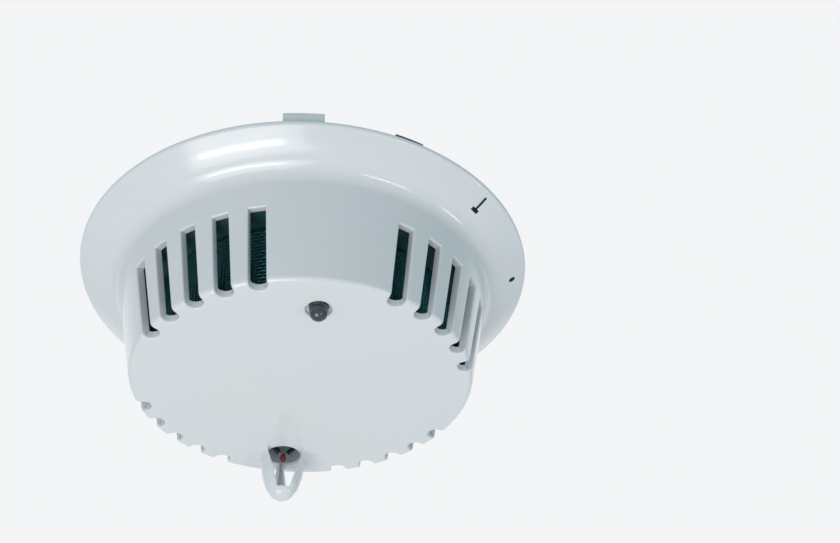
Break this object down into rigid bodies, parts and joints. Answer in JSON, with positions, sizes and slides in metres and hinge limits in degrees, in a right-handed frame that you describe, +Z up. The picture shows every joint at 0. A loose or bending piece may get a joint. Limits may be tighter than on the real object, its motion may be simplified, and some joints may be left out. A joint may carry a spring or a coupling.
{
  "type": "heat detector",
  "caption": "Round ceiling detector head with air slots and a guarded thermistor, on a bayonet mounting base.",
  "frame": {"origin": "centre of the base's ceiling face", "axes": "+Z up into the ceiling, along the detector's axis; -Y towards the status light, +Y towards the thermistor guard"},
  "size_m": [0.127, 0.127, 0.0552],
  "materials": {
    "cover_white": "semi-gloss moulded plastic, cool white",
    "base_white": "satin moulded plastic, cool white",
    "lever_white": "satin moulded plastic, cool white",
    "mesh_dark": "fine dark woven mesh",
    "lens_clear": "clear moulded polycarbonate",
    "brass_strip": "plain stamped brass",
    "screw_steel": "zinc plated",
    "keeper_steel": "dark spring steel",
    "board_green": "solder mask over laminate",
    "chip_black": "moulded epoxy",
    "chamber_black": "matt black moulded plastic",
    "relay_blue": "moulded case",
    "can_aluminium": "drawn can",
    "tin_wire": "tinned wire",
    "tin_sheet": "tinned sheet",
    "resistor_dark": "glazed chip",
    "sleeve_dark": "dark sleeving",
    "bead_red": "epoxy coated bead",
    "led_red": "tinted epoxy",
    "led_clear": "clear epoxy",
    "photodiode_dark": "daylight blocking epoxy",
    "reed_glass": "glass capsule"
  },
  "bodies": {
    "base": {"base_plate": "base_white", "base_contacts": "brass_strip", "terminal_screws": "screw_steel", "clamp_plates": "tin_sheet", "lever_keeper": "keeper_steel"},
    "lever": {"release_lever": "lever_white"},
    "head": {"outer_cover": "cover_white", "insect_screen": "mesh_dark", "light_pipe": "lens_clear", "back_plate": "base_white", "back_plate_screws": "screw_steel", "contact_pads": "brass_strip", "circuit_board": "board_green", "status_led": "led_red", "thermistor_bead": "bead_red", "thermistor_leads": "tin_wire", "thermistor_sleeves": "sleeve_dark", "chassis": "chamber_black", "optics_holder": "chamber_black", "labyrinth": "chamber_black", "emitter_led": "led_clear", "photodiode": "photodiode_dark", "receiver_lens": "lens_clear", "shield_can": "tin_sheet", "relay": "relay_blue", "capacitors": "can_aluminium", "ic_chips": "chip_black", "resistors": "resistor_dark", "reed_switch": "reed_glass"}
  },
  "joints": [
    {"name": "head_twist", "type": "hinge", "parent": "base", "child": "head", "pos_m": [0, 0, -0.02], "axis": [0, 0, 1], "range_deg": [-25, 0]},
    {"name": "lever_press", "type": "hinge", "parent": "base", "child": "lever", "pos_m": [0.02825, -0.04893, -0.0033], "axis": [0, 0, -1], "range_deg": [0, 2.2], "stiffness_Nm_per_rad": 0.8, "springref_deg": -1.15}
  ]
}
